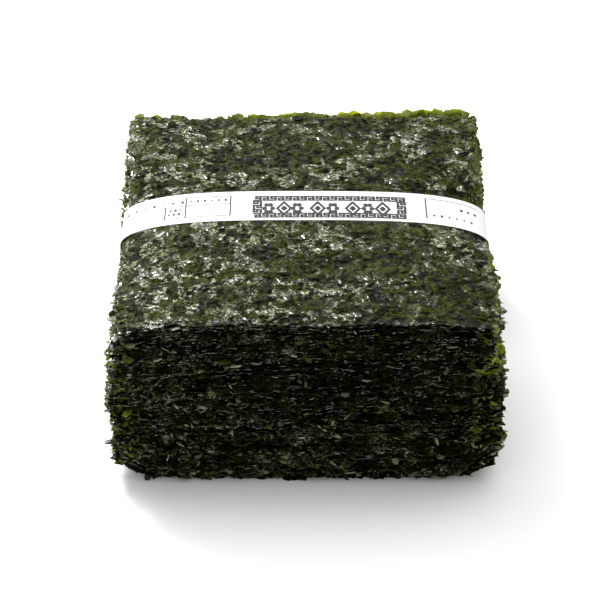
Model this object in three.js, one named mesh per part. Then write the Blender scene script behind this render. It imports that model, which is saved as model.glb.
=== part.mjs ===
// A banded stack of roasted laver sheets, in millimetres.
// +X is to the right, +Y away from the viewer and +Z up. The stack stands on z = 0.
import * as THREE from 'three';

// Driving dimensions
const sheetWidth = 190; // full-size sheet, left to right
const sheetLength = 205; // full-size sheet, front to back
const stackHeight = 95.4; // from the surface to the middle of the top
const layerCount = 50; // each layer is a nested pair of sheets
const layerFill = 0.6; // share of a layer's pitch that is solid

// How the band draws the stack down at its two sides
const bandY = 6; // the band lies a little behind the middle
const bandZone = 32; // length of stack that lies flat under the band
const pullReach = 20; // how fast the pull fades towards front and back
const shoulderAxis = 96.5; // half-width of the rounded top
const shoulderDrop = 14.5; // depth of the rounded top at the band
const shoulderPower = 4;
const crown = 1.5; // gentle fall over the whole half-width, besides the shoulders
const farPull = { frontLeft: 0.8, frontRight: 0.22, backLeft: 0.05, backRight: -0.1 };
const backRise = 2.5; // the stack is higher at its back edge
const sheetLift = 26; // rise of the lowest sheet towards its sides, at the band
const farLift = 20; // and at the front and the back
const liftStart = 70; // the lowest sheet is flat out to here
const liftAxis = 98;
const strandRoom = 0.8; // rise of the lowest sheet over the band's lower run
const reachLimit = 0.99; // keeps the rounded forms short of vertical

// Ragged, uneven sheets
const ragged = 2; // deepest notch or tuft of a front or back edge
const sideRagged = 1.6;
const slip = 1.4; // how far a sheet has slid out of line
const barrel = 2.2; // sheets in the middle of the stack stand out this much wider
const barrelStart = 0.2; // the bulge begins at this share of the stack and ends at its top
const barrelAlong = 0.5; // share of the bulge that the front and the back edge take
const pinched = 93.6; // half-width of the stack under the band
const pinchSpread = 1;
const squeezeReach = 15; // how fast the outline comes free of the band
const calmReach = 38; // how fast its tufts and notches grow
const waveHeight = 0.34;
const waveLengths = [64, 83, 118, 151];
const waveDrift = 21; // how much a wave changes phase from bottom to top
const waveStart = 0.08; // share of the stack over which the waves grow in
const waveCalm = 0.85; // how much of a wave the band presses flat

// Fixed seeds of the unevenness
const waveSeed = 11;
const layerSeed = 1000; // of the lowest layer
const layerSeedStep = 53; // from one layer to the next

// Paper band
const paperThickness = 0.4;
const bandWidth = 29;
const bandHalf = 95.6;
const bandDrop = 14;
const bandRise = 0.75; // over the top sheet
const bandLift = 18;
const bandFlat = 72; // half-length of its flat lower run
const arcSteps = 14; // points on each quarter of the band

// Mesh of one sheet: an outline, a ring inside it and a grid inside the ring
const ringInset = 22;
const outlineAcross = 11; // steps on the front and the back edge
const outlineAlong = [6, 2, 4]; // steps on a side: before, under and behind the band
const gridAcross = 4;
const ringAlong = [1, 1, 1];

const laverColour = new THREE.Color(0.05, 0.065, 0.022);
const paperColour = new THREE.Color(0.86, 0.86, 0.84);

// Linear congruential generator
const randomFactor = 1664525;
const randomIncrement = 1013904223;
const randomRange = 2 ** 32;

// Gives a function whose calls run through a fixed row of numbers from 0 to 1
function seededRandom(seed) {
  let state = seed;
  return () => {
    state = (state * randomFactor + randomIncrement) % randomRange;
    return state / randomRange;
  };
}

function spread(random, size) {
  return (random() * 2 - 1) * size;
}

// Heights inside the stack

function distanceFromBand(y) {
  return Math.max(0, Math.abs(y - bandY) - bandZone / 2);
}

function bandPull(y) {
  return Math.exp(-((distanceFromBand(y) / pullReach) ** 2));
}

function roundedDrop(x) {
  const reach = Math.min(Math.abs(x) / shoulderAxis, reachLimit);
  return shoulderDrop * (1 - Math.sqrt(1 - reach ** shoulderPower)) + crown * reach ** 2;
}

function topHeight(x, y) {
  const front = x < 0 ? farPull.frontLeft : farPull.frontRight;
  const back = x < 0 ? farPull.backLeft : farPull.backRight;
  const far = y < bandY ? front : back;
  const pull = far + (1 - far) * bandPull(y);
  const rise = (backRise * Math.max(0, y - bandY)) / (sheetLength / 2 - bandY);
  return stackHeight - roundedDrop(x) * pull + rise;
}

function bottomHeight(x, y) {
  const reach = Math.max(0, Math.abs(x) - liftStart) / (liftAxis - liftStart);
  const lift = farLift + (sheetLift - farLift) * bandPull(y);
  const overStrand = distanceFromBand(y) === 0 ? strandRoom : 0;
  return lift * (1 - Math.sqrt(1 - Math.min(reach, reachLimit) ** 2)) + overStrand;
}

const wavePhases = seededRandom(waveSeed);
const waves = waveLengths.map((length) => {
  const heading = wavePhases() * Math.PI;
  return {
    across: (Math.cos(heading) * 2 * Math.PI) / length,
    along: (Math.sin(heading) * 2 * Math.PI) / length,
    phase: wavePhases() * 2 * Math.PI,
    drift: spread(wavePhases, waveDrift),
  };
});

function waveAt(x, y, level) {
  const grown = Math.min(1, level / waveStart);
  const free = 1 - waveCalm * bandPull(y);
  let sum = 0;
  for (const wave of waves) {
    sum += Math.sin(wave.across * x + wave.along * y + wave.phase + wave.drift * level);
  }
  return waveHeight * grown * free * sum;
}

// level runs from 0 under the lowest sheet to 1 on the top sheet
function heightAt(x, y, level) {
  const low = bottomHeight(x, y);
  const high = topHeight(x, y);
  return low + (high - low) * level + waveAt(x, y, level);
}

// Points of one sheet in plan

function steps(from, to, count) {
  return Array.from({ length: count }, (_, i) => from + ((to - from) * i) / count);
}

// Stops along a side, with the last corner left to the next side
function sideStops(half, counts) {
  const zoneStart = bandY - bandZone / 2;
  const zoneEnd = bandY + bandZone / 2;
  return [
    ...steps(-half, zoneStart, counts[0]),
    ...steps(zoneStart, zoneEnd, counts[1]),
    ...steps(zoneEnd, half, counts[2]),
  ];
}

// A loop of points round the sheet, from the front left corner, with how far round each is
function loopPoints(halfX, halfY, across, along) {
  const front = steps(-halfX, halfX, across);
  const side = sideStops(halfY, along);
  const backOfSide = [...side.slice(1), halfY].reverse();
  const points = [
    ...front.map((x) => ({ x, y: -halfY, round: (x + halfX) / (2 * halfX) })),
    ...side.map((y) => ({ x: halfX, y, round: 1 + (y + halfY) / (2 * halfY) })),
    ...front.map((x) => ({ x: -x, y: halfY, round: 2 + (x + halfX) / (2 * halfX) })),
    ...backOfSide.map((y) => ({ x: -halfX, y, round: 3 + (halfY - y) / (2 * halfY) })),
  ];
  return points;
}

const outline = loopPoints(sheetWidth / 2, sheetLength / 2, outlineAcross, outlineAlong);

const ringHalfX = sheetWidth / 2 - ringInset;
const ringHalfY = sheetLength / 2 - ringInset;
const ring = loopPoints(ringHalfX, ringHalfY, gridAcross, ringAlong);
const ringColumns = [...steps(-ringHalfX, ringHalfX, gridAcross), ringHalfX];
const ringRows = [...sideStops(ringHalfY, ringAlong), ringHalfY];

// Which edges an outline point is on: -1, 0 or 1 for each direction
for (const point of outline) {
  point.edgeX = Math.abs(point.x) === sheetWidth / 2 ? Math.sign(point.x) : 0;
  point.edgeY = Math.abs(point.y) === sheetLength / 2 ? Math.sign(point.y) : 0;
}

// The ragged edge of one sheet: how far each outline point is moved out of the plain oblong
function raggedEdge(random, level) {
  const slid = { x: spread(random, slip), y: spread(random, slip) };
  const bulge = Math.min(1, (1 - level) / (1 - barrelStart));
  const wider = barrel * Math.sin(Math.PI * bulge);
  return outline.map((point) => {
    const squeeze = Math.exp(-((distanceFromBand(point.y) / squeezeReach) ** 2));
    const calm = Math.exp(-((distanceFromBand(point.y) / calmReach) ** 2));
    const tuftX = spread(random, sideRagged) + point.edgeX * slid.x;
    const tuftY = spread(random, ragged) + barrelAlong * wider;
    const inward = pinched - sheetWidth / 2 - random() * pinchSpread;
    const outX = tuftX * (1 - calm) + wider * (1 - squeeze) + inward * squeeze;
    const outY = tuftY + point.edgeY * slid.y;
    return { x: point.edgeX * outX, y: point.edgeY * outY };
  });
}

// Height on the straight line between two ring stops
function between(low, high, value, heightOf) {
  const share = (value - low) / (high - low);
  return heightOf(low) * (1 - share) + heightOf(high) * share;
}

// Height straight inward from an outline point, on the ring or on the ring's line carried on
function ringHeight(stops, value, heightOf) {
  if (Math.abs(value) > stops[stops.length - 1]) return heightOf(value);
  const next = stops.findIndex((stop, i) => i > 0 && stop >= value);
  return between(stops[next - 1], stops[next], value, heightOf);
}

// Sheets lie parallel where an outline sticks out, so the height goes on along the slope
function edgeHeight(point, move, level) {
  const here = heightAt(point.x, point.y, level);
  const ringX = point.edgeX * ringHalfX;
  const ringY = point.edgeY * ringHalfY;
  const insideX = ringHeight(ringRows, point.y, (y) => heightAt(ringX, y, level));
  const insideY = ringHeight(ringColumns, point.x, (x) => heightAt(x, ringY, level));
  const outX = (move.x * point.edgeX) / ringInset;
  const outY = (move.y * point.edgeY) / ringInset;
  return here + (here - insideX) * outX + (here - insideY) * outY;
}

// Triangles of one sheet in plan, counter-clockwise from above

// Joins two loops, going on along whichever loop has the nearer step
function zipLoops(outer, inner, innerStart) {
  const triangles = [];
  const roundOf = (loop, index) => (index < loop.length ? loop[index].round : 4);
  const middleOf = (loop, index) => (roundOf(loop, index) + roundOf(loop, index + 1)) / 2;
  let o = 0;
  let i = 0;
  while (o < outer.length || i < inner.length) {
    const outerHere = o % outer.length;
    const innerHere = innerStart + (i % inner.length);
    const stepOuter = i === inner.length
      || (o < outer.length && middleOf(outer, o) <= middleOf(inner, i));
    if (stepOuter) {
      o += 1;
      triangles.push([outerHere, o % outer.length, innerHere]);
    } else {
      i += 1;
      triangles.push([outerHere, innerStart + (i % inner.length), innerHere]);
    }
  }
  return triangles;
}

// Grid inside the ring: its border is the ring itself, its inner points follow the ring's
const gridAlong = ringRows.length - 1;
const innerPoints = ringRows.slice(1, -1).flatMap(
  (y) => ringColumns.slice(1, -1).map((x) => ({ x, y })),
);

function gridPoint(column, row) {
  if (row === 0) return outline.length + column;
  if (column === gridAcross) return outline.length + gridAcross + row;
  if (row === gridAlong) return outline.length + 2 * gridAcross + gridAlong - column;
  if (column === 0) return outline.length + 2 * (gridAcross + gridAlong) - row;
  return outline.length + ring.length + (row - 1) * (gridAcross - 1) + column - 1;
}

function gridTriangles() {
  const triangles = [];
  for (let row = 0; row < gridAlong; row += 1) {
    for (let column = 0; column < gridAcross; column += 1) {
      const a = gridPoint(column, row);
      const b = gridPoint(column + 1, row);
      const c = gridPoint(column + 1, row + 1);
      const d = gridPoint(column, row + 1);
      const leansLeft = (column < gridAcross / 2) === (row < gridAlong / 2);
      if (leansLeft) triangles.push([a, b, c], [a, c, d]);
      else triangles.push([a, b, d], [b, c, d]);
    }
  }
  return triangles;
}

const planTriangles = [...zipLoops(outline, ring, outline.length), ...gridTriangles()];

function layerGeometry(index) {
  const random = seededRandom(layerSeed + layerSeedStep * index);
  const low = index / layerCount;
  const high = low + layerFill / layerCount;
  const moves = raggedEdge(random, low);
  const positions = [];
  for (const level of [low, high]) {
    outline.forEach((point, i) => {
      const move = moves[i];
      positions.push(point.x + move.x, point.y + move.y, edgeHeight(point, move, level));
    });
    for (const point of [...ring, ...innerPoints]) {
      positions.push(point.x, point.y, heightAt(point.x, point.y, level));
    }
  }
  const upper = outline.length + ring.length + innerPoints.length;
  const faces = [];
  for (const [a, b, c] of planTriangles) {
    faces.push(a, c, b, upper + a, upper + b, upper + c);
  }
  for (let i = 0; i < outline.length; i += 1) {
    const next = (i + 1) % outline.length;
    faces.push(i, next, upper + next, i, upper + next, upper + i);
  }
  const geometry = new THREE.BufferGeometry();
  geometry.setAttribute('position', new THREE.Float32BufferAttribute(positions, 3));
  geometry.setIndex(faces);
  geometry.computeVertexNormals();
  return geometry;
}

function makeLayer(index) {
  const material = new THREE.MeshStandardMaterial({
    color: laverColour, roughness: 0.45, metalness: 0,
  });
  const layer = new THREE.Mesh(layerGeometry(index), material);
  layer.name = `layer_${String(index + 1).padStart(2, '0')}`;
  return layer;
}

// Band: a closed loop of paper, rounded over the stack and flat below it

function bandOutline(inward) {
  const top = stackHeight + bandRise + paperThickness - inward;
  const half = bandHalf - inward;
  const drop = bandDrop - inward;
  const points = [];
  for (let i = 0; i <= 2 * arcSteps; i += 1) {
    const angle = (Math.PI * i) / (2 * arcSteps);
    const across = Math.cos(angle);
    const reach = Math.sign(across) * Math.abs(across) ** (2 / shoulderPower);
    const z = top - drop * (1 - Math.sin(angle)) - crown * reach ** 2;
    points.push(new THREE.Vector2(half * reach, z));
  }
  const corner = half - bandFlat;
  const lower = [];
  for (let i = 0; i <= arcSteps; i += 1) {
    const angle = (Math.PI * i) / (2 * arcSteps);
    const z = inward + (bandLift - inward) * (1 - Math.sin(angle));
    lower.push(new THREE.Vector2(bandFlat + corner * Math.cos(angle), z));
  }
  points.push(...lower.map((point) => new THREE.Vector2(-point.x, point.y)));
  points.push(...lower.reverse());
  return points;
}

function makeBand() {
  const loop = new THREE.Shape(bandOutline(0));
  loop.holes.push(new THREE.Path(bandOutline(paperThickness)));
  const geometry = new THREE.ExtrudeGeometry(loop, { depth: bandWidth, bevelEnabled: false });
  const material = new THREE.MeshStandardMaterial({
    color: paperColour, roughness: 0.7, metalness: 0,
  });
  const band = new THREE.Mesh(geometry, material);
  band.name = 'paper_band';
  band.rotation.x = Math.PI / 2;
  band.position.y = bandY + bandWidth / 2;
  return band;
}

const stack = new THREE.Group();
for (let index = 0; index < layerCount; index += 1) {
  stack.add(makeLayer(index));
}
stack.add(makeBand());

// The origin is on the surface, under the middle of the whole
stack.updateMatrixWorld(true);
const box = new THREE.Box3().setFromObject(stack, true);
stack.position.set(-(box.min.x + box.max.x) / 2, -(box.min.y + box.max.y) / 2, -box.min.z);

const object = new THREE.Group();
object.add(stack);

export default object;
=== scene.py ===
# A banded stack of roasted laver sheets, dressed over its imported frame. Sizes are in metres.
import math
import random

import bmesh
import bpy
from mathutils import Euler, Matrix, Vector


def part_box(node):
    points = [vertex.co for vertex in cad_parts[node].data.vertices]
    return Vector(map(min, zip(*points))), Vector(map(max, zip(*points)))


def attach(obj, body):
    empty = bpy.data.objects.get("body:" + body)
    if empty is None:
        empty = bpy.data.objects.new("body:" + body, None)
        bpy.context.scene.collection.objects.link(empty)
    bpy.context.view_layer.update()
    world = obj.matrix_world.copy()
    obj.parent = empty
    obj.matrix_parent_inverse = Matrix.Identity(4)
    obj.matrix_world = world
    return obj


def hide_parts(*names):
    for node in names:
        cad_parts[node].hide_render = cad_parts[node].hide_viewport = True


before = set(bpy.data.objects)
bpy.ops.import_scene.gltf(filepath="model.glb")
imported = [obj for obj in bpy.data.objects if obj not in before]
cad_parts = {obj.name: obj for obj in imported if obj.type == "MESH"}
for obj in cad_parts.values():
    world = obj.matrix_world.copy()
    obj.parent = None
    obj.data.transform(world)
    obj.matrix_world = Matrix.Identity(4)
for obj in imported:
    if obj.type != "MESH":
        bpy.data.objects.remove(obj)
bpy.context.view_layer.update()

layerNames = sorted(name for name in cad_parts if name.startswith("layer_"))
sheetCount = 2 * len(layerNames)
bandLow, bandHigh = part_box("paper_band")
bandMiddle = (bandLow.y + bandHigh.y) / 2
bandHalf = (bandHigh.y - bandLow.y) / 2
floorGap = 0.00002  # the lowest scraps stay this much over the floor
leastWeight = 0.001


# Small helpers

def activate(obj):
    bpy.ops.object.select_all(action="DESELECT")
    obj.select_set(True)
    bpy.context.view_layer.objects.active = obj


def addObject(name, data):
    obj = bpy.data.objects.new(name, data)
    bpy.context.scene.collection.objects.link(obj)
    return obj


def addGrid(cells):
    bpy.ops.object.select_all(action="DESELECT")
    bpy.ops.mesh.primitive_grid_add(x_subdivisions=cells[0], y_subdivisions=cells[1], size=1)
    return bpy.context.object


def copyOf(obj, name):
    copy = addObject(name, obj.data.copy())
    for group in obj.vertex_groups:
        copy.vertex_groups.new(name=group.name)
    return copy


def meshOf(obj):
    mesh = obj.data.copy()
    bpy.data.objects.remove(obj)
    return mesh


def applied(obj, kind, **settings):
    activate(obj)
    modifier = obj.modifiers.new(kind.title(), kind)
    for name, value in settings.items():
        setattr(modifier, name, value)
    bpy.ops.object.modifier_apply(modifier=modifier.name)


def settle(obj):
    activate(obj)
    bpy.ops.object.transform_apply(location=True, rotation=True, scale=True)


def smoothShade(obj):
    activate(obj)
    bpy.ops.object.shade_smooth()


def editFaces(obj, wanted):
    activate(obj)
    bpy.ops.object.mode_set(mode="EDIT")
    bpy.ops.mesh.select_mode(type="FACE")
    bpy.ops.mesh.select_all(action="DESELECT")
    work = bmesh.from_edit_mesh(obj.data)
    for face in work.faces:
        face.select_set(wanted(face))
    bmesh.update_edit_mesh(obj.data)


def leaveEdit():
    bpy.ops.object.mode_set(mode="OBJECT")


def weigh(obj, name, weightAt):
    group = obj.vertex_groups.new(name=name)
    for vertex in obj.data.vertices:
        weight = weightAt(vertex.co)
        if weight > leastWeight:
            group.add([vertex.index], weight, "REPLACE")


def paint(mesh, name, values):
    mesh.attributes.new(name, "FLOAT", "POINT").data.foreach_set("value", values)


def joinCopies(name, placed, rim=0.0):  # placed holds a mesh, its matrix, tone and thinness
    points, faces, tones, thins = [], [], [], []
    for source, matrix, tone, thin in placed:
        start = len(points)
        points += [matrix @ vertex.co for vertex in source.vertices]
        faces += [[start + index for index in face.vertices] for face in source.polygons]
        tones += [tone] * len(source.vertices)
        thins += [thin] * len(source.vertices)
    mesh = bpy.data.meshes.new(name)
    mesh.from_pydata(points, [], faces)
    paint(mesh, "tone", tones)
    paint(mesh, "thin", thins)
    paint(mesh, "rim", [rim] * len(points))
    mesh.update()
    return addObject(name, mesh)


def liftOffFloor(obj):
    for vertex in obj.data.vertices:
        vertex.co.z = max(vertex.co.z, floorGap)


def dress(obj, material):
    obj.data.materials.clear()
    obj.data.materials.append(material)
    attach(obj, "root")


# Noise that crinkles, tears and curls, held by an empty

def makeNoise(name, size, coloured=False):
    noise = bpy.data.textures.new(name, "CLOUDS")
    noise.noise_scale = size
    noise.noise_depth = 1
    noise.noise_basis = "ORIGINAL_PERLIN"
    noise.cloud_type = "COLOR" if coloured else "GRAYSCALE"
    return noise


noisePlace = addObject("noisePlace", None)


def displaced(obj, texture, strength, direction, place, weights=""):
    noisePlace.location = place
    bpy.context.view_layer.update()
    applied(obj, "DISPLACE", texture=texture, strength=strength, mid_level=0.5,
            direction=direction, texture_coords="OBJECT",
            texture_coords_object=noisePlace, vertex_group=weights)


# The flat sheet that all others are copies of

sheet = {
    "width": 0.190,
    "length": 0.205,
    "cells": (18, 20),  # across and along
    "strips": (0.0185, 0.0080, 0.0027),  # each strip along the edge halves its cells once more
    "topCells": (180, 194),
    "thickness": 0.0003,
    "edgeReach": 0.009,  # the frilled edge is this wide
    "edgePower": 1.3,
    "calm": 0.85,  # so much of the frill is gone beside the band
    "calmReach": 0.018,
    "looseReach": 0.010,
    "rimReach": 0.005,
    "rimThin": 0.3,
    "darkFront": 0.012,  # no light comes through this strip
    "pinchHalf": 0.0963,  # before the sheet is shortened
    "pinchReach": 0.018,
    "heldHalf": 0.0940,
    "heldReach": 0.006,
    "inset": 0.0001,  # how far a sheet lies inside the frame's layer
}


def fromEdge(point):
    return min(sheet["width"] / 2 - abs(point.x), sheet["length"] / 2 - abs(point.y))


def fromBand(point):
    return max(0.0, abs(point.y - bandMiddle) - bandHalf)


def nearBand(point, reach):
    return math.exp(-(fromBand(point) / reach) ** 2)


def edgeWeight(point):
    near = max(0.0, 1 - fromEdge(point) / sheet["edgeReach"]) ** sheet["edgePower"]
    side = sheet["width"] / 2 - abs(point.x) < sheet["length"] / 2 - abs(point.y)
    calm = nearBand(point, sheet["calmReach"]) if side else 0
    return near * (1 - sheet["calm"] * calm)


def makeBlank(name, cells, strips):
    blank = addGrid(cells)
    blank.name = name
    blank.scale = (sheet["width"], sheet["length"], 1)
    settle(blank)
    for strip in strips:
        editFaces(blank, lambda face: fromEdge(face.calc_center_median()) < strip)
        bpy.ops.mesh.subdivide(number_cuts=1)
        leaveEdit()
    editFaces(blank, lambda face: len(face.verts) > 4)
    bpy.ops.mesh.quads_convert_to_tris(quad_method="BEAUTY", ngon_method="BEAUTY")
    leaveEdit()
    weigh(blank, "edge", edgeWeight)
    weigh(blank, "loose", lambda point: 1 - nearBand(point, sheet["looseReach"]))
    front = sheet["darkFront"] - sheet["length"] / 2
    rims = [max(0.0, 1 - fromEdge(v.co) / sheet["rimReach"]) for v in blank.data.vertices]
    thins = [0 if v.co.y < front else sheet["rimThin"] * rim
             for v, rim in zip(blank.data.vertices, rims)]
    paint(blank.data, "rim", rims)
    paint(blank.data, "thin", thins)
    for vertex in blank.data.vertices:
        squeeze = nearBand(vertex.co, sheet["pinchReach"])
        vertex.co.x *= 1 - squeeze * (1 - 2 * sheet["pinchHalf"] / sheet["width"])
    return blank


sheetBlank = makeBlank("sheetBlank", sheet["cells"], sheet["strips"])
topBlank = makeBlank("topBlank", sheet["topCells"], ())
print("blank sheets", len(sheetBlank.data.polygons), len(topBlank.data.polygons))


# The paper band's run round the stack, which the sheets lie close under

band = {
    "thickness": 0.00016,
    "cells": (300, 12),
    "seamIn": 0.0003,  # the inner end lies this much higher than the outer one
    "seamHalf": 0.008,
    "straight": 0.02,
    "tuck": 0.00036,  # the paper lies a little inside the frame's band
    "sheetGap": 0.0001,
    "topShare": 0.6,  # its upper run is above this share of the height
    "lowRun": 0.001,  # and its lower run is below this height
    "smoothAngle": 40,
}


def outerLoop():
    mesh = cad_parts["paper_band"].data
    middle = Vector(((bandLow.x + bandHigh.x) / 2, 0, (bandLow.z + bandHigh.z) / 2))
    found = {}
    for face in mesh.polygons:
        away = face.center - middle
        away.y = 0
        if abs(face.normal.y) < 0.5 and face.normal.dot(away) > 0:  # none of the two rims
            for index in face.vertices:
                spot = mesh.vertices[index].co
                found[(round(spot.x, 6), round(spot.z, 6))] = True

    def turn(spot):
        return math.atan2(middle.x - spot[0], middle.z - spot[1]) % (2 * math.pi)

    return sorted(found, key=turn)


overTop = sorted(spot for spot in outerLoop() if spot[1] > band["topShare"] * bandHigh.z)


def underBand(x):
    for (x0, z0), (x1, z1) in zip(overTop, overTop[1:]):
        if x0 <= x <= x1 and x1 > x0:
            share = (x - x0) / (x1 - x0)
            return z0 + (z1 - z0) * share - band["tuck"] - band["thickness"] - band["sheetGap"]
    return 0


# What a sheet lies on: the frame's own layer, smoothed and carried on past its outline

bed = {"merge": 0.00001, "facing": 0.5, "widen": 1.16, "levels": 3, "soften": 0.5, "rounds": 12}


def makeForm(nodeName, upper):
    form = addObject("form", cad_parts[nodeName].data.copy())
    sign = 1 if upper else -1
    editFaces(form, lambda face: True)
    bpy.ops.mesh.remove_doubles(threshold=bed["merge"])
    leaveEdit()
    editFaces(form, lambda face: face.normal.z * sign < bed["facing"])
    bpy.ops.mesh.delete(type="FACE")
    bpy.ops.mesh.select_all(action="SELECT")
    bpy.ops.mesh.region_to_loop()
    bpy.ops.mesh.extrude_edges_move()
    bpy.ops.transform.resize(value=(bed["widen"], bed["widen"], 1), center_override=(0, 0, 0))
    leaveEdit()
    applied(form, "SUBSURF", subdivision_type="SIMPLE", levels=bed["levels"],
            render_levels=bed["levels"])
    applied(form, "SMOOTH", factor=bed["soften"], iterations=bed["rounds"])
    return form


def layOn(obj, form, above):
    applied(obj, "SHRINKWRAP", target=form, wrap_method="PROJECT", use_project_z=True,
            use_negative_direction=True, use_positive_direction=True)
    for vertex in obj.data.vertices:
        vertex.co.z += above


crinkle = {
    "drift": 0.0060,
    "tear": 0.0070,
    "tuft": 0.0036,
    "curl": 0.0020,
    "crimp": 0.0016,
    "sag": 0.0018,
    "turn": 0.006,
    "slip": 0.0009,
    "bunch": 4,  # so many sheets slip together
    "bunchSlip": 0.0013,
    "topBunches": (1.2, -0.8),  # the top sheets stand out over those below them
    "cornerIn": 0.0055,  # the top sheets are short at their back right corner
    "short": 0.008,  # so much the frills and tufts stand out over the sheet in all
    "leftIn": (0.0022, -0.0024),  # at the front and at the back
    "rightIn": (-0.0022, -0.0006),
    "upperIn": (0.0045, 66, 10),  # shorter at the front right from sheet 66 on, over 10 sheets
    "lowOut": 0.0050,  # the lowest sheet stands out this much more at the front left
    "topTear": 0.5,  # the top sheets are torn less than the others
    "climb": 0.0042,  # how fast the sag changes from sheet to sheet
    "letGo": 0.17,  # how fast the sheets further down let go of the band
    "snugReach": 0.009,
    "snugMost": 0.0030,
    "snugHalf": 0.0925,
    "snugFade": 0.006,
}
noises = {kind: makeNoise(kind, size, coloured)
          for kind, size, coloured in (("drift", 0.026, True), ("tear", 0.0060, True),
                                       ("tuft", 0.0022, True), ("curl", 0.0110, False),
                                       ("crimp", 0.0036, False), ("sag", 0.034, False))}
draw = random.Random(4)
bunches = [draw.uniform(-1, 1) for count in range(sheetCount // crinkle["bunch"])]
bunches[-2:] = crinkle["topBunches"]


def spread(reach):
    return draw.uniform(-reach, reach)


def crinkled(obj, kind, direction, place, weights, share=1):
    displaced(obj, noises[kind], crinkle[kind] * share, direction, place, weights)


def placeSheet(obj, low, high, number):
    wide = (high.x - low.x - crinkle["short"]) / sheet["width"]
    long = (high.y - low.y - crinkle["short"]) / sheet["length"]
    obj.scale = (wide, long, 1)
    obj.rotation_euler.z = spread(crinkle["turn"])
    obj.location = ((low.x + high.x) / 2, (low.y + high.y) / 2, 0)
    bunched = bunches[number // crinkle["bunch"]] * crinkle["bunchSlip"]
    obj.location += Vector((spread(crinkle["slip"]), spread(crinkle["slip"]) + bunched, 0))
    settle(obj)


def trimSides(obj, low, high, number, fromTop):
    upperIn, upperStart, upperReach = crinkle["upperIn"]
    upper = min(max((number - upperStart) / upperReach, 0), 1) if fromTop > 1 else 0
    for vertex in obj.data.vertices:
        toBack = (vertex.co.y - low.y) / (high.y - low.y)
        free = 1 - nearBand(vertex.co, sheet["pinchReach"])
        if vertex.co.x < 0:
            front, back = crinkle["leftIn"]
            front -= crinkle["lowOut"] * fromTop / sheetCount
            inward = front + (back - front) * toBack
        else:
            front, back = crinkle["rightIn"]
            inward = front + (back - front) * toBack + upperIn * upper * (1 - toBack)
        vertex.co.x *= 1 - free * inward / high.x


def cutCorner(obj, high):
    for vertex in obj.data.vertices:
        toRight = max(vertex.co.x / high.x, 0)
        toBack = max(vertex.co.y / high.y, 0)
        vertex.co.x -= crinkle["cornerIn"] * toRight ** 2 * toBack ** 3


def snug(obj, share):
    if share <= 0:
        return
    for vertex in obj.data.vertices:
        near = nearBand(vertex.co, crinkle["snugReach"])
        lift = min(max(underBand(vertex.co.x) - vertex.co.z, 0), crinkle["snugMost"])
        inside = (crinkle["snugHalf"] - abs(vertex.co.x)) / crinkle["snugFade"]
        vertex.co.z += share * near * min(max(inside, 0), 1) * lift


def holdAtBand(obj):  # nothing stands out past the paper
    for vertex in obj.data.vertices:
        over = max(abs(vertex.co.x) - sheet["heldHalf"], 0)
        vertex.co.x -= math.copysign(over * nearBand(vertex.co, sheet["heldReach"]), vertex.co.x)


def makeSheet(blank, name, nodeName, isUpper, number):
    low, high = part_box(nodeName)
    fromTop = sheetCount - 1 - number
    nearTop = fromTop < crinkle["bunch"]
    torn = crinkle["topTear"] if nearTop else 1
    obj = copyOf(blank, name)
    placeSheet(obj, low, high, number)
    trimSides(obj, low, high, number, fromTop)
    if nearTop:
        cutCorner(obj, high)
    place = Vector((spread(1), spread(1), spread(1)))
    crinkled(obj, "drift", "RGB_TO_XYZ", place, "edge")
    crinkled(obj, "tear", "RGB_TO_XYZ", place, "edge", torn)
    crinkled(obj, "tuft", "RGB_TO_XYZ", place, "edge")
    form = makeForm(nodeName, isUpper)
    layOn(obj, form, -sheet["inset"] if isUpper else sheet["inset"])
    bpy.data.objects.remove(form)
    snug(obj, 1 - fromTop * crinkle["letGo"])
    height = number * crinkle["climb"]
    crinkled(obj, "sag", "Z", (0, 0, height), "loose")
    crinkled(obj, "curl", "Z", (0, 0, 2 * height), "edge")
    crinkled(obj, "crimp", "Z", place, "edge", torn)
    holdAtBand(obj)
    return obj


# Scraps: flat leaves for the faces, and small shards for the edges

leaf = {
    "length": 0.0100,
    "width": 0.0046,
    "thickness": 0.0001,
    "kinds": 8,
    "cells": (4, 2),
    "taper": 0.45,
    "bow": 0.0002,
    "tear": 0.0028,
    "flat": 0.4,  # so much of its unevenness is left
    "noise": 0.0022,
    "apart": 0.37,  # from kind to kind in the noise
}
leafNoise = makeNoise("leafTears", leaf["noise"], coloured=True)


def tearScrap(obj, scrap, place):
    displaced(obj, leafNoise, scrap["tear"], "RGB_TO_XYZ", place)
    for vertex in obj.data.vertices:
        vertex.co.z *= scrap["flat"]
    return meshOf(obj)


def makeLeaf(index):
    obj = addGrid(leaf["cells"])
    obj.scale = (leaf["length"], leaf["width"], 1)
    settle(obj)
    for vertex in obj.data.vertices:
        along = 2 * vertex.co.x / leaf["length"]
        vertex.co.y *= 1 - leaf["taper"] * along ** 2
        vertex.co.z = leaf["bow"] * along ** 2
    return tearScrap(obj, leaf, (index * leaf["apart"], 0.2, 0.1))


shard = {
    "length": 0.0054,
    "width": 0.0030,
    "thickness": 0.0005,
    "kinds": 12,
    "sides": 6,
    "tear": 0.0026,
    "flat": 0.45,
}


def makeShard(index):
    bpy.ops.object.select_all(action="DESELECT")
    bpy.ops.mesh.primitive_cone_add(vertices=shard["sides"], radius1=0.5, radius2=0, depth=1,
                                    end_fill_type="TRIFAN")
    obj = bpy.context.object
    obj.scale = (shard["length"], shard["width"], shard["thickness"])
    settle(obj)
    return tearScrap(obj, shard, (index * leaf["apart"], 0.7, 0.4))


leafKinds = [makeLeaf(index) for index in range(leaf["kinds"])]
shardKinds = [makeShard(index) for index in range(shard["kinds"])]


# The top face: folds and pits, and leaves pressed into it

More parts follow.
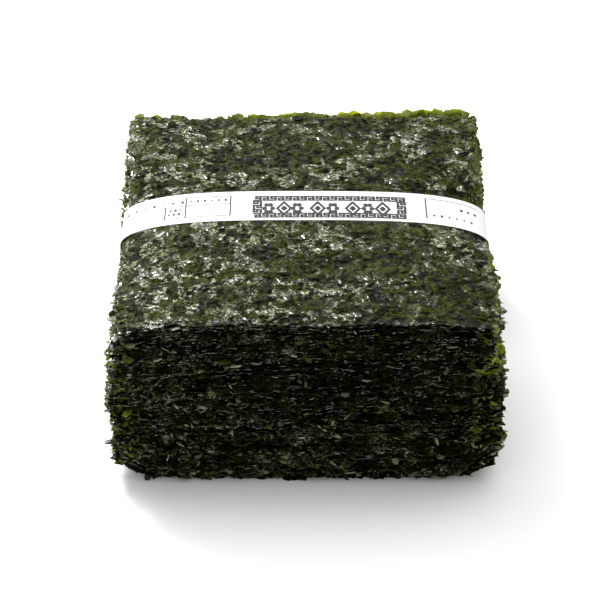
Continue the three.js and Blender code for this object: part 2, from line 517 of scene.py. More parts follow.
relief = {
    "fold": (0.0006, 0.0050),  # how high, and how large
    "foldOctaves": 1.5,
    "pit": (0.0005, 0.0034),
    "swell": (0.0012, 0.0170),
}
foldNoise = bpy.data.textures.new("folds", "MUSGRAVE")
foldNoise.musgrave_type = "RIDGED_MULTIFRACTAL"
foldNoise.noise_scale = relief["fold"][1]
foldNoise.octaves = relief["foldOctaves"]
pitNoise = makeNoise("pits", relief["pit"][1])
swellNoise = makeNoise("swells", relief["swell"][1])


def relieve(obj):
    displaced(obj, foldNoise, relief["fold"][0], "Z", (0.2, 0, 0), "loose")
    displaced(obj, pitNoise, relief["pit"][0], "Z", (0.5, 0, 0), "loose")
    displaced(obj, swellNoise, relief["swell"][0], "Z", (0.8, 0, 0), "loose")


topLeaf = {
    "count": 2400,
    "size": (0.4, 1.0),
    "sizePower": 1.5,
    "grow": 1.6,
    "tilt": 0.02,
    "tone": (0.05, 0.8),
    "bandGap": 0.003,
    "edgeGap": 0.0070,
    "edgeShare": 0.3,  # a large leaf stays further in by this share of its reach
    "rise": 0.00020,
    "keep": 0.6,  # so much of its own unevenness it keeps on the sheet
    "above": 0.00018,
}


def scatterLeaves():
    low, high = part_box(layerNames[-1])
    placed = []
    while len(placed) < topLeaf["count"]:
        point = Vector((draw.uniform(low.x, high.x), draw.uniform(low.y, high.y), 0))
        kind = draw.choice(leafKinds)
        size = draw.uniform(*topLeaf["size"]) ** topLeaf["sizePower"] * topLeaf["grow"]
        angle = draw.uniform(0, 2 * math.pi)
        tilt = Euler((draw.gauss(0, topLeaf["tilt"]), draw.gauss(0, topLeaf["tilt"]), 0))
        tone = draw.uniform(*topLeaf["tone"])
        reach = size * leaf["length"] / 2
        if fromBand(point) < reach * abs(math.sin(angle)) + topLeaf["bandGap"]:
            continue
        inside = min(high.x - abs(point.x), high.y - abs(point.y))
        if inside <= topLeaf["edgeGap"] + topLeaf["edgeShare"] * reach:
            continue
        point.z = topLeaf["rise"] * draw.random()
        matrix = (Matrix.Translation(point) @ tilt.to_matrix().to_4x4()
                  @ Matrix.Rotation(angle, 4, "Z") @ Matrix.Diagonal((size, size, 1, 1)))
        placed.append((kind, matrix, tone, 0))
    return placed, low.z


def layLeaves(obj):
    placed, bottom = scatterLeaves()
    leaves = joinCopies("topLeaves", placed)
    lifts = [topLeaf["keep"] * vertex.co.z for vertex in leaves.data.vertices]
    layOn(leaves, obj, topLeaf["above"])
    corners = len(leafKinds[0].vertices)
    for start in range(0, len(lifts), corners):
        spots = [vertex.co for vertex in leaves.data.vertices[start:start + corners]]
        lowest = min((spot.z for spot in spots if spot.z > bottom), default=bottom)
        for spot in spots:
            spot.z = max(spot.z, lowest)  # a corner past the sheet's edge had nothing to lie on
    for vertex, lift in zip(leaves.data.vertices, lifts):
        vertex.co.z += lift
    applied(leaves, "SOLIDIFY", thickness=leaf["thickness"], offset=0)
    smoothShade(leaves)
    dress(leaves, laver)


# Bits of leaf that stick out of the edges

bit = {
    "perLayer": 290,
    "rimFrom": 0.75,
    "leafShare": 0.02,
    "leafSize": (0.35, 0.8),
    "size": (0.35, 0.9),  # the least, and what chance adds at most
    "straightShare": 0.25,  # the others lie along the edge
    "turn": 0.6,
    "tilt": (0.40, 0.22),
    "endsFrom": 0.435,  # of the sheet's width
    "tone": 0.9,
    "endLightTone": 0.8,
    "lowBounceTone": 0.6,
    "endGreen": 0.85,  # the share of bits that light comes through
    "frontGreen": (0.12, 0.3),  # at the top, and what is added at the bottom as painted light from the floor
    "endThin": (0.25, 0.95),
    "frontThin": (0.12, 0.35),
    "rightLightThin": 0.15,
    "highlightDashShare": (0.10, 0.20),
    "highlightDashTone": (1.2, 1.9),
    "highlightDashWidth": 0.40,
    "out": (-0.0012, 0.0008),
    "upDown": 0.0005,
    "bandGap": 0.016,
    "shadeFrom": 0.085,  # few bits show in the shade of the top sheets
    "shadeShare": 0.7,
}


def bitLook(point, ends, big):
    # painted light: bits at the ends get a lighter tone and more often the green of thin laver,
    # most at the right end, where the light falls; bits further down are lighter too, as light
    # from the floor falls on them
    low = 1 - point.z / bandHigh.z
    tone = draw.random() ** 2 * bit["tone"] + (bit["endLightTone"] if ends else bit["lowBounceTone"] * low)
    frontGreen, lowBounceGreen = bit["frontGreen"]
    thin = 0
    if draw.random() < (bit["endGreen"] if ends else frontGreen + lowBounceGreen * low):
        thin = draw.uniform(*(bit["endThin"] if ends else bit["frontThin"]))
        thin += bit["rightLightThin"] if ends and point.x > 0 else 0
    # painted highlights: some small bits become pale dashes that stand for glints, more of them
    # further down
    highlightDashShare, lowHighlightDashes = bit["highlightDashShare"]
    if not big and draw.random() < highlightDashShare + lowHighlightDashes * low:
        return draw.uniform(*bit["highlightDashTone"]), thin, bit["highlightDashWidth"]
    return tone, thin, 1


def pickBits(obj):
    rims = obj.data.attributes["rim"].data
    edge = [v.index for v in obj.data.vertices if rims[v.index].value > bit["rimFrom"]]
    least, more = bit["size"]
    placed = []
    for count in range(bit["perLayer"]):
        point = obj.data.vertices[draw.choice(edge)].co
        across = abs(point.x) / sheet["width"] > abs(point.y) / sheet["length"]
        outward = math.atan2(0, point.x) if across else math.atan2(point.y, 0)
        big = draw.random() < bit["leafShare"]
        kind = draw.choice(leafKinds if big else shardKinds)
        size = draw.uniform(*bit["leafSize"]) if big else least + more * draw.random() ** 2
        along = 0 if big or draw.random() < bit["straightShare"] else math.pi / 2
        angle = outward + along + draw.gauss(0, bit["turn"])
        tilt = Euler((draw.gauss(0, bit["tilt"][0]), draw.gauss(0, bit["tilt"][1]), 0))
        ends = across or abs(point.x) > bit["endsFrom"] * sheet["width"]
        tone, thin, slim = bitLook(point, ends, big)
        out = draw.uniform(*bit["out"])
        if across and fromBand(point) < bit["bandGap"]:
            continue
        shaded = point.z > bit["shadeFrom"] and point.y < 0 and not ends
        if shaded and draw.random() < bit["shadeShare"]:
            continue
        shift = Vector((math.cos(outward) * out, math.sin(outward) * out, spread(bit["upDown"])))
        matrix = (Matrix.Translation(point + shift) @ Matrix.Rotation(angle, 4, "Z")
                  @ tilt.to_matrix().to_4x4() @ Matrix.Diagonal((size, slim * size, size, 1)))
        placed.append((kind, matrix, tone, thin))
    return placed


# Thin scraps along the back edge of the top sheet, where light comes through

rimLeaf = {
    "count": 150,
    "strip": 0.012,
    "lean": (1.5, 1.0),  # more of them lie towards the right
    "leftGap": 0.001,
    "gaps": 0.004,
    "near": 0.004,
    "size": (0.45, 0.5),  # at the left, and what is added at the right
    "vary": (0.8, 1.25),
    "turn": 0.3,
    "rise": 0.35,
    "tilt": (0.3, 0.15),
    "out": 0.0018,
    "outVary": 0.0008,
    "drop": 0.0026,
    "deep": 1.5,
    "bowed": 3,
    "tone": 0.9,
    "thin": (0.75, 1.4),
    "rim": 0.3,
}


def rimLeaves(obj):
    farthest = max(vertex.co.y for vertex in obj.data.vertices)
    backRow = [vertex.co for vertex in obj.data.vertices
               if vertex.co.y > farthest - rimLeaf["strip"]]
    left = min(spot.x for spot in backRow)
    right = max(spot.x for spot in backRow)
    least, more = rimLeaf["size"]
    placed = []
    for count in range(rimLeaf["count"]):
        across = draw.betavariate(*rimLeaf["lean"])
        x = left + rimLeaf["leftGap"] + (right - left - rimLeaf["gaps"]) * across
        edge = max((spot for spot in backRow if abs(spot.x - x) < rimLeaf["near"]),
                   key=lambda spot: spot.y)
        size = (least + more * across) * draw.uniform(*rimLeaf["vary"])
        turn = Matrix.Rotation(draw.gauss(0, rimLeaf["turn"]), 4, "Z")
        tilt = Euler((draw.gauss(rimLeaf["rise"], rimLeaf["tilt"][0]),
                      draw.gauss(0, rimLeaf["tilt"][1]), 0))
        place = (x, edge.y + rimLeaf["out"] * size + spread(rimLeaf["outVary"]),
                 edge.z - draw.uniform(0, rimLeaf["drop"]))
        matrix = (Matrix.Translation(place) @ turn @ tilt.to_matrix().to_4x4()
                  @ Matrix.Diagonal((size, rimLeaf["deep"] * size, rimLeaf["bowed"], 1)))
        placed.append((draw.choice(leafKinds), matrix, rimLeaf["tone"],
                       draw.uniform(*rimLeaf["thin"])))
    return placed


# Shader helpers

def wire(tree, kind, inputs=None, **settings):
    made = tree.nodes.new(kind)
    for name, value in settings.items():
        setattr(made, name, value)
    for name, value in (inputs or {}).items():
        if isinstance(value, bpy.types.NodeSocket):
            tree.links.new(value, made.inputs[name])
        else:
            made.inputs[name].default_value = value
    return made


def calc(tree, operation, *values):
    return wire(tree, "ShaderNodeMath", dict(enumerate(values)), operation=operation).outputs[0]


def ramp(tree, value, low, high, fromLow=0.0, fromHigh=1.0):
    made = wire(tree, "ShaderNodeMapRange", {"Value": value, "From Min": low, "From Max": high,
                                             "To Min": fromLow, "To Max": fromHigh},
                interpolation_type="SMOOTHSTEP")
    return made.outputs["Result"]


def blend(tree, factor, first, second):
    made = wire(tree, "ShaderNodeMix", {0: factor, 6: first, 7: second}, data_type="RGBA")
    return made.outputs[2]


def noiseAt(tree, vector, scale, detail):
    return wire(tree, "ShaderNodeTexNoise", {"Vector": vector, "Scale": scale,
                                             "Detail": detail}).outputs


def ridgesAt(tree, vector, scale, detail, roughness, distortion):
    return wire(tree, "ShaderNodeTexNoise", {
        "Vector": vector, "Scale": scale, "Detail": detail, "Roughness": roughness,
        "Distortion": distortion, "Offset": 1.0, "Gain": 1.0},
        noise_type="RIDGED_MULTIFRACTAL").outputs["Fac"]


def cellsAt(tree, vector, scale, feature="F1"):
    return wire(tree, "ShaderNodeTexVoronoi", {"Vector": vector, "Scale": scale},
                feature=feature).outputs


def tonesOf(tree, cells):
    return wire(tree, "ShaderNodeSeparateColor", {"Color": cells["Color"]}).outputs


def newMaterial(name):
    material = bpy.data.materials.new(name)
    material.use_nodes = True
    tree = material.node_tree
    place = tree.nodes.new("ShaderNodeTexCoord").outputs["Object"]
    return material, tree, tree.nodes["Principled BSDF"], place


# Laver: dark cells and scraps, painted cream highlights on its crests, painted shade in its
# hollows and at its rims, green where it is thin

laverLook = {
    "black": (0.003, 0.004, 0.0015, 1),
    "dark": (0.004, 0.006, 0.0015, 1),
    "olive": (0.040, 0.053, 0.005, 1),
    # painted highlight: the cream colour of the crests, standing in for glints
    "highlightPaint": (0.40, 0.42, 0.24, 1),
    "highlightDash": (0.32, 0.33, 0.20, 1),
    "highlightDashFrom": (1.1, 1.6),  # the tones between which a bit turns into a painted highlight dash
    "fresh": (0.19, 0.24, 0.03, 1),
    "freshBright": (0.30, 0.33, 0.05, 1),
    "through": (0.40, 0.46, 0.05, 1),
    "bright": (0.60, 0.64, 0.09, 1),
    "brightFrom": (0.7, 1.1),
    "throughShare": 0.8,
    "rim": (0.1, 0.9),
    "rimShade": 0.45,
    "bump": 0.0012,
    "roughness": 0.45,
    "specular": 0.04,
    "coatRoughness": 0.13,
    "coatIor": 1.8,
}
flake = {
    "warp": (170, 3),  # scale and detail, with roughness and distortion for ridges
    "bend": 0.006,
    "cell": 190,
    "scrap": 430,
    "fibre": (900, 3),
    "patch": (38, 2),
    "ridge": (130, 2.5, 0.55, 1.5),
    "line": (330, 1.0, 0.5, 0.8),
    "highlightLeftward": (-0.09, 0.04, 0.13),  # painted highlights grow from here to there, towards the left where the light falls, and how much
    "highlightCluster": (0.45, 0.61),
    "toneShare": 0.6,
    "scrapShare": 0.8,
    "shade": (0.9, 2.2),
    "paintedHighlight": (0.88, 1.25),
    "paintedHighlightCells": (0.35, 0.70),
    "pit": (0.36, 0.52),
    "pitRidges": (0.25, 0.75),
    "crack": (0.0, 0.08),
    "patches": (0.40, 0.60),
    "swell": (0.6, 1.2),
    "sheen": (0.40, 0.80),
    "sheenRidges": (0.6, 1.1),
    "dull": 0.15,
    "rare": (0.58, 0.74),
    "glintRidges": (0.4, 0.8),
    "thick": 0.40,
}
flakeHeight = {"cell": 0.12, "scrap": 0.07, "ridge": 0.55, "fibre": 0.09, "crack": -0.08}


def makeFlakeGroup():
    tree = bpy.data.node_groups.new("laverFlakes", "ShaderNodeTree")
    face = tree.interface
    face.new_socket("Vector", in_out="INPUT", socket_type="NodeSocketVector")
    face.new_socket("Tone", in_out="INPUT", socket_type="NodeSocketFloat")
    for name, kind in (("Colour", "Color"), ("Gloss", "Float"), ("Glint", "Float"),
                       ("Height", "Float"), ("Thin", "Float")):
        face.new_socket(name, in_out="OUTPUT", socket_type="NodeSocket" + kind)
    given = tree.nodes.new("NodeGroupInput").outputs
    result = tree.nodes.new("NodeGroupOutput")

    def mul(first, second):
        return calc(tree, "MULTIPLY", first, second)

    def mulAdd(first, second, third):
        return calc(tree, "MULTIPLY_ADD", first, second, third)

    warp = noiseAt(tree, given["Vector"], *flake["warp"])["Color"]
    spot = wire(tree, "ShaderNodeVectorMath", {0: warp, 1: (flake["bend"],) * 3,
                                               2: given["Vector"]},
                operation="MULTIPLY_ADD").outputs[0]
    cell = tonesOf(tree, cellsAt(tree, spot, flake["cell"]))
    scrap = tonesOf(tree, cellsAt(tree, spot, flake["scrap"]))
    seam = cellsAt(tree, spot, flake["scrap"], "DISTANCE_TO_EDGE")["Distance"]
    patch = noiseAt(tree, given["Vector"], *flake["patch"])["Fac"]
    fibre = noiseAt(tree, spot, *flake["fibre"])["Fac"]
    ridge = ridgesAt(tree, given["Vector"], *flake["ridge"])
    line = ridgesAt(tree, spot, *flake["line"])
    across = wire(tree, "ShaderNodeSeparateXYZ", {"Vector": given["Vector"]}).outputs["X"]

    shade = mulAdd(given["Tone"], flake["toneShare"], cell["Red"])
    shade = mulAdd(scrap["Red"], flake["scrapShare"], shade)
    shade = calc(tree, "ADD", shade, patch)
    colour = blend(tree, ramp(tree, shade, *flake["shade"]), laverLook["dark"],
                   laverLook["olive"])
    # painted highlight: cream crests on the ridge lines, in patches, more of them towards the
    # left where the light falls
    start, end, most = flake["highlightLeftward"]
    highlightPatches = calc(tree, "ADD", patch, ramp(tree, across, start, end, most, 0.0))
    paintedHighlight = mul(ramp(tree, line, *flake["paintedHighlight"]), ramp(tree, highlightPatches, *flake["highlightCluster"]))
    paintedHighlight = mul(paintedHighlight, ramp(tree, cell["Blue"], *flake["paintedHighlightCells"]))
    colour = blend(tree, paintedHighlight, colour, laverLook["highlightPaint"])
    # painted shade: where fibre and ridges are low the colour darkens towards black, as shade in
    # the hollows
    pit = mul(ramp(tree, fibre, *flake["pit"]), ramp(tree, ridge, *flake["pitRidges"]))
    colour = blend(tree, pit, laverLook["black"], colour)

    height = mul(cell["Green"], flakeHeight["cell"])
    height = mulAdd(scrap["Green"], flakeHeight["scrap"], height)
    height = mulAdd(ridge, flakeHeight["ridge"], height)
    height = mulAdd(fibre, flakeHeight["fibre"], height)
    crack = ramp(tree, seam, *flake["crack"], flakeHeight["crack"], 0.0)
    height = calc(tree, "ADD", height, crack)
    height = mul(height, ramp(tree, patch, *flake["patches"], *flake["swell"]))

    sheen = mul(ramp(tree, cell["Blue"], *flake["sheen"]),
                ramp(tree, ridge, *flake["sheenRidges"]))
    gloss = mul(sheen, ramp(tree, patch, *flake["patches"], flake["dull"], 1.0))
    glint = mul(ramp(tree, scrap["Blue"], *flake["rare"]),
                ramp(tree, ridge, *flake["glintRidges"]))
    thin = ramp(tree, patch, *flake["patches"], flake["thick"], 1.0)
    for name, value in (("Colour", colour), ("Gloss", gloss), ("Glint", glint),
                        ("Height", height), ("Thin", thin)):
        tree.links.new(value, result.inputs[name])
    return tree


def makeLaver():
    material, tree, shader, place = newMaterial("laver")
    tone, rim, thinness = [wire(tree, "ShaderNodeAttribute", attribute_name=name).outputs["Fac"]
                           for name in ("tone", "rim", "thin")]
    flakes = wire(tree, "ShaderNodeGroup", node_tree=makeFlakeGroup())
    tree.links.new(place, flakes.inputs["Vector"])
    tree.links.new(tone, flakes.inputs["Tone"])
    given = flakes.outputs
    bump = wire(tree, "ShaderNodeBump", {"Height": given["Height"], "Strength": 1.0,
                                         "Distance": laverLook["bump"]}).outputs["Normal"]
    shaded = ramp(tree, rim, *laverLook["rim"], 0.0, laverLook["rimShade"])
    colour = blend(tree, shaded, given["Colour"], laverLook["black"])
    # painted highlight: bits of high tone turn pale, as glint dashes
    colour = blend(tree, ramp(tree, tone, *laverLook["highlightDashFrom"]), colour, laverLook["highlightDash"])
    thin = calc(tree, "MULTIPLY", thinness, given["Thin"])
    lit = ramp(tree, thinness, *laverLook["brightFrom"])
    fresh = blend(tree, lit, laverLook["fresh"], laverLook["freshBright"])
    coat = wire(tree, "ShaderNodeMix", {0: rim, 2: given["Gloss"], 3: given["Glint"]},
                data_type="FLOAT")
    tree.links.new(blend(tree, thin, colour, fresh), shader.inputs["Base Color"])
    tree.links.new(coat.outputs[0], shader.inputs["Coat Weight"])
    tree.links.new(bump, shader.inputs["Normal"])
    shader.inputs["Roughness"].default_value = laverLook["roughness"]
    shader.inputs["Specular IOR Level"].default_value = laverLook["specular"]
    shader.inputs["Coat Roughness"].default_value = laverLook["coatRoughness"]
    shader.inputs["Coat IOR"].default_value = laverLook["coatIor"]
    through = wire(tree, "ShaderNodeBsdfTranslucent", {
        "Color": blend(tree, lit, laverLook["through"], laverLook["bright"]), "Normal": bump})
    share = calc(tree, "MULTIPLY", thin, laverLook["throughShare"])
    mix = wire(tree, "ShaderNodeMixShader", {0: share, 1: shader.outputs["BSDF"],
                                             2: through.outputs["BSDF"]})
    tree.links.new(mix.outputs["Shader"], tree.nodes["Material Output"].inputs["Surface"])
    return material


laver = makeLaver()


# Every layer of the frame gives way to its two thin sheets

def finishSheet(obj, smooth):
    applied(obj, "SOLIDIFY", thickness=sheet["thickness"], offset=0, use_even_offset=False)
    if smooth:
        smoothShade(obj)


def makeLayer(index, nodeName):
    first = makeSheet(sheetBlank, f"sheets{index + 1:02d}", nodeName, False, 2 * index)
    last = index == len(layerNames) - 1
    second = makeSheet(topBlank if last else sheetBlank, "upper", nodeName, True, 2 * index + 1)
    if last:
        relieve(second)
        layLeaves(second)
    finishSheet(first, False)
    finishSheet(second, last)
    topSheet = copyOf(second, "topSheet") if last else None
    activate(first)
    second.select_set(True)
    bpy.ops.object.join()
    liftOffFloor(first)
    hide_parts(nodeName)
    return first, topSheet


bits = []
for index, nodeName in enumerate(layerNames):
    piece, topSheet = makeLayer(index, nodeName)
    dress(piece, laver)
    bits += pickBits(piece)
backScraps = joinCopies("backScraps", rimLeaves(topSheet), rimLeaf["rim"])
for spare in (sheetBlank, topBlank, topSheet):
    bpy.data.objects.remove(spare)
edgeBits = joinCopies("edgeBits", bits, 1.0)
applied(backScraps, "SOLIDIFY", thickness=leaf["thickness"], offset=0)
smoothShade(backScraps)
liftOffFloor(edgeBits)
for piece in (edgeBits, backScraps):
    dress(piece, laver)
print("sheets laid, with", len(bits), "bits along their edges")


# The band itself, a flat strip bent round the stack, its ends glued together underneath

def makeBandPath():
    loop = [(x, z) for x, z in outerLoop() if z > band["lowRun"] or abs(x) > band["straight"]]
    start = [(band["seamHalf"], band["seamIn"]), (0, band["seamIn"]),
             (-band["seamHalf"], band["seamIn"]), (-band["straight"], 0)]
    end = [(band["straight"], 0), (band["seamHalf"], 0), (0, 0), (-band["seamHalf"] / 2, 0)]
    curve = bpy.data.curves.new("bandPath", "CURVE")
    curve.dimensions = "2D"
    spline = curve.splines.new("BEZIER")
    middle = (bandHigh.z + bandLow.z) / 2
    narrow = 1 - band["tuck"] / bandHigh.x
    lower = 1 - band["tuck"] / middle
    spots = [(x * narrow, middle + (z - middle) * lower) for x, z in start + loop + end]
    spline.bezier_points.add(len(spots) - 1)
    for point, spot in zip(spline.bezier_points, spots):
        point.co = (spot[0], spot[1], 0)
        point.handle_left_type = point.handle_right_type = "AUTO"
    path = addObject("bandPath", curve)
    path.location.y = bandMiddle
    path.rotation_euler.x = math.pi / 2
    bpy.context.view_layer.update()
    return path, spline.calc_length()


bandPath, bandLength = makeBandPath()


def bendRound(obj):
    obj.location.y = bandMiddle
    obj.rotation_euler.x = math.pi / 2
    bpy.context.view_layer.update()
    applied(obj, "CURVE", object=bandPath, deform_axis="POS_X")
    settle(obj)


def makeBand():
    obj = addGrid(band["cells"])
    obj.name = "band"
    obj.scale = (bandLength, 2 * bandHalf, 1)
    obj.location.x = bandLength / 2
    obj.rotation_euler.x = -math.pi / 2
    settle(obj)
    applied(obj, "SOLIDIFY", thickness=band["thickness"], offset=-1)
    bendRound(obj)
    activate(obj)
    bpy.ops.object.shade_smooth_by_angle(angle=math.radians(band["smoothAngle"]))
    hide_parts("paper_band")
    return obj


paperLook = {
    "colour": (0.61, 0.61, 0.605, 1),
    "roughness": 0.55,
    "fibre": (900, 4),
    "strength": 0.3,
    "bump": 0.0001,
}


def makePaper():
    material, tree, shader, place = newMaterial("bandPaper")
    fibre = noiseAt(tree, place, *paperLook["fibre"])["Fac"]
    bump = wire(tree, "ShaderNodeBump", {"Height": fibre, "Strength": paperLook["strength"],
                                         "Distance": paperLook["bump"]})
    shader.inputs["Base Color"].default_value = paperLook["colour"]
    shader.inputs["Roughness"].default_value = paperLook["roughness"]
    tree.links.new(bump.outputs["Normal"], shader.inputs["Normal"])
    return material


dress(makeBand(), makePaper())
print("band bent round the stack, length", round(bandLength, 4))


# The print: a fretted title frame and two plain ruled tables, as thin ink on the paper

ink = {  # u runs along the band from its middle, and v across it
    "thickness": 0.00002,
    "above": 0.000004,
    "line": 0.0007,
    "fine": 0.00045,
    "lap": 0.9,  # a stroke runs on past its ends by this share of its width
    "frame": (-0.0234, 0.0552, -0.0117, 0.0091),
    "fret": 0.0040,
    "fretStroke": 0.0014,
    "markAt": (-0.0156, -0.0076, -0.0008, 0.0098, 0.0176, 0.0279, 0.0357, 0.0434),
    "markSize": (0.0070, 0.0122),
    "markV": -0.0029,
    "petals": 6,
    "petalAt": (0.30, 0.32),
    "petalSize": (0.38, 0.31),
    "lozenges": ((0.5, 0.0015), (0.12, 0.0016)),  # half size and stroke, outer and inner
    "tableV": (-0.0092, 0.0025, 0.0102),
    "leftTable": (-0.0940, -0.0693, -0.0586, -0.0354),
    "rightTable": (0.0660, 0.0940),
    "dotRows": ((-0.0905, 0.0062, 7, 0.0050), (-0.0560, 0.0064, 6, 0.0036),  # u, v, count, pitch
                (0.0700, -0.0060, 6, 0.0040), (0.0850, 0.0035, 3, 0.0038),
                (-0.0665, -0.0012, 3, 0.0026), (-0.0672, -0.0050, 3, 0.0026)),
    "dotSize": (0.0010, 0.0019),
    "dotShape": (0.9, 1.5),
    "discSides": 12,
    "longCells": 30,
    "dark": (0.01, 0.01, 0.01, 1),
    "worn": (0.05, 0.05, 0.05, 1),
    "wear": (700, 3),
    "roughness": 0.6,
    "specular": 0.2,
}
fretShape = ((-0.75, -0.9), (0.75, -0.9), (0.75, 0.9), (-0.35, 0.9), (-0.35, 0.0), (0.25, 0.0))


def makeDisc():
    bpy.ops.object.select_all(action="DESELECT")
    bpy.ops.mesh.primitive_circle_add(vertices=ink["discSides"], radius=0.5, fill_type="NGON")
    return meshOf(bpy.context.object)


barMesh = meshOf(addGrid((2, 1)))
longMesh = meshOf(addGrid((ink["longCells"], 1)))
discMesh = makeDisc()


def bar(u0, v0, u1, v1, wide=ink["line"], mesh=barMesh):
    start, end = Vector((u0, v0, 0)), Vector((u1, v1, 0))
    along = end - start
    matrix = (Matrix.Translation((start + end) / 2)
              @ Matrix.Rotation(math.atan2(along.y, along.x), 4, "Z")
              @ Matrix.Diagonal((along.length + wide * ink["lap"], wide, 1, 1)))
    return (mesh, matrix, 0, 0)


def disc(u, v, wide, tall):
    return (discMesh, Matrix.Translation((u, v, 0)) @ Matrix.Diagonal((wide, tall, 1, 1)), 0, 0)


def hook(u, v, angle, flip):
    size = ink["fret"] / 2
    turn = Matrix.Translation((u, v, 0)) @ Matrix.Rotation(angle, 4, "Z")
    spots = [turn @ Vector((x * size, y * size * flip, 0)) for x, y in fretShape]
    return [bar(a.x, a.y, b.x, b.y, ink["fretStroke"]) for a, b in zip(spots, spots[1:])]


def blossom(u, v):
    wide, tall = ink["markSize"]
    outU, outV = ink["petalAt"]
    petalWide, petalTall = ink["petalSize"]
    angles = [2 * math.pi * petal / ink["petals"] for petal in range(ink["petals"])]
    return [disc(u + outU * wide * math.cos(angle), v + outV * tall * math.sin(angle),
                 petalWide * wide, petalTall * tall) for angle in angles]


def lozenge(u, v):
    wide, tall = ink["markSize"]
    placed = []
    for share, stroke in ink["lozenges"]:
        tips = [(u - share * wide, v), (u, v + share * tall), (u + share * wide, v),
                (u, v - share * tall)]
        placed += [bar(*a, *b, stroke) for a, b in zip(tips, tips[1:] + tips[:1])]
    return placed


def titleFrame():
    u0, u1, v0, v1 = ink["frame"]
    half = ink["fret"] / 2
    placed = []
    across = round((u1 - u0) / ink["fret"])
    upward = round((v1 - v0) / ink["fret"])
    for step in range(across):
        u = u0 + (u1 - u0) * (step + 0.5) / across
        flip = 1 if step % 2 else -1
        placed += hook(u, v0 + half, 0, flip)
        placed += hook(u, v1 - half, 0, -flip)
    for step in range(1, upward - 1):
        v = v0 + (v1 - v0) * (step + 0.5) / upward
        flip = 1 if step % 2 else -1
        placed += hook(u0 + half, v, math.pi / 2, flip)
        placed += hook(u1 - half, v, math.pi / 2, -flip)
    for index, u in enumerate(ink["markAt"]):
        placed += lozenge(u, ink["markV"]) if index % 2 else blossom(u, ink["markV"])
    return placed


def tables():
    low, middle, high = ink["tableV"]
    edge, cell, cellEnd, end = ink["leftTable"]
    start, far = ink["rightTable"]
    fine = ink["fine"]
    placed = [bar(end, low, end, high), bar(edge, low, end, low, fine, longMesh),
              bar(edge, middle, end, middle, fine, longMesh), bar(cellEnd, low, cellEnd, high),
              bar(cell, low, cell, middle), bar(cellEnd, high, end, high, fine, longMesh),
              bar(start, low, start, high), bar(start, high, far, high, fine, longMesh)]
    dots = random.Random(9)
    dotWide, dotTall = ink["dotShape"]
    for u, v, count, pitch in ink["dotRows"]:
        for index in range(count):
            size = dots.uniform(*ink["dotSize"])
            placed.append(disc(u + index * pitch, v, dotWide * size, dotTall * size))
    return placed


def topCentre():
    spots = bandPath.evaluated_get(bpy.context.evaluated_depsgraph_get()).to_mesh().vertices
    travelled = 0
    for before, after in zip(spots, spots[1:]):
        if before.co.x < 0 <= after.co.x and before.co.y > bandHigh.z / 2:
            break
        travelled += (after.co - before.co).length
    return travelled


def makePrint():
    obj = joinCopies("bandPrint", titleFrame() + tables())
    obj.location = (topCentre(), 0, 0)
    obj.rotation_euler.x = -math.pi / 2
    settle(obj)
    for vertex in obj.data.vertices:
        vertex.co.y = ink["above"]
    applied(obj, "SOLIDIFY", thickness=ink["thickness"], offset=1)
    bendRound(obj)
    return obj


def makeInk():
    material, tree, shader, place = newMaterial("bandInk")
    worn = noiseAt(tree, place, *ink["wear"])["Fac"]
    tree.links.new(blend(tree, worn, ink["dark"], ink["worn"]), shader.inputs["Base Color"])
    shader.inputs["Roughness"].default_value = ink["roughness"]
    shader.inputs["Specular IOR Level"].default_value = ink["specular"]
    return material


dress(makePrint(), makeInk())
print("band printed")


# Floor, light and camera

stage = {
    "floorSize": 8,
    "floor": (0.93, 0.93, 0.93, 1),
    "mottle": (3, 2),
    "darker": 0.995,
    "floorRoughness": 0.9,
    "front": 0.76,
    "back": 0.66,
    "upShare": 0.5,  # what is overhead counts as this much of the back
    "span": 0.7,  # the light fades over this much of the way from front to back
    "lightsAt": (0, 0, 0.05),
    "keyPlace": (-0.75, 1.15, 1.35),
    "keySize": (0.60, 0.36),
    "keyPower": 30,
    "topPlace": (0.1, 0.45, 1.7),
    "topSize": (2.8, 1.0),
    "topPower": 26,
    "glowToward": (-0.42, 0.80, 0.43),
    "glowEdge": (0.89, 0.985),
    "glow": 3.4,
}


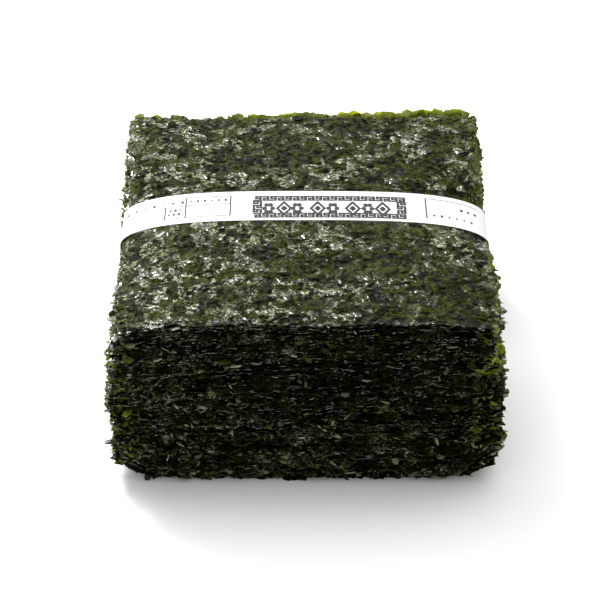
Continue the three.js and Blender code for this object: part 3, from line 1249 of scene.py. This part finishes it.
def makeFloor():
    bpy.ops.object.select_all(action="DESELECT")
    bpy.ops.mesh.primitive_plane_add(size=stage["floorSize"])
    floor = bpy.context.object
    floor.name = "floor"
    material, tree, shader, place = newMaterial("floor")
    mottle = noiseAt(tree, place, *stage["mottle"])["Fac"]
    darker = tuple(stage["darker"] * value for value in stage["floor"][:3]) + (1,)
    tree.links.new(blend(tree, mottle, stage["floor"], darker), shader.inputs["Base Color"])
    shader.inputs["Roughness"].default_value = stage["floorRoughness"]
    floor.data.materials.append(material)


def addLight(name, place, size, power):
    light = bpy.data.lights.new(name, "AREA")
    light.shape = "RECTANGLE"
    light.size, light.size_y = size
    light.energy = power
    obj = addObject(name, light)
    obj.location = place
    toward = Vector(stage["lightsAt"]) - Vector(place)
    obj.rotation_euler = toward.to_track_quat("-Z", "Y").to_euler()


def makeWorld():
    world = bpy.data.worlds.new("world")
    bpy.context.scene.world = world
    world.use_nodes = True
    tree = world.node_tree
    tree.nodes["Background"].inputs["Color"].default_value = (1, 1, 1, 1)
    place = tree.nodes.new("ShaderNodeTexCoord").outputs["Generated"]
    axes = wire(tree, "ShaderNodeSeparateXYZ", {"Vector": place}).outputs
    toward = calc(tree, "MULTIPLY_ADD", axes["Z"], stage["upShare"], axes["Y"])
    even = ramp(tree, toward, -stage["span"], stage["span"], stage["front"], stage["back"])
    near = wire(tree, "ShaderNodeVectorMath", {0: place, 1: stage["glowToward"]},
                operation="DOT_PRODUCT").outputs["Value"]
    glow = ramp(tree, near, *stage["glowEdge"], 0.0, stage["glow"])
    tree.links.new(calc(tree, "ADD", even, glow), tree.nodes["Background"].inputs["Strength"])


view = {"place": (-0.002, -0.936, 0.661), "down": 33.5, "lens": 127.2, "sensor": 36}


def makeCamera():
    camera = bpy.data.cameras.new("camera")
    camera.lens = view["lens"]
    camera.sensor_width = view["sensor"]
    obj = addObject("camera", camera)
    obj.location = view["place"]
    obj.rotation_euler = (math.radians(90 - view["down"]), 0, 0)
    bpy.context.scene.camera = obj


makeFloor()
addLight("key", stage["keyPlace"], stage["keySize"], stage["keyPower"])
addLight("top", stage["topPlace"], stage["topSize"], stage["topPower"])
makeWorld()
makeCamera()
bpy.context.scene.view_settings.view_transform = "Standard"
for spare in (bandPath, noisePlace):
    bpy.data.objects.remove(spare)
print("stage set")
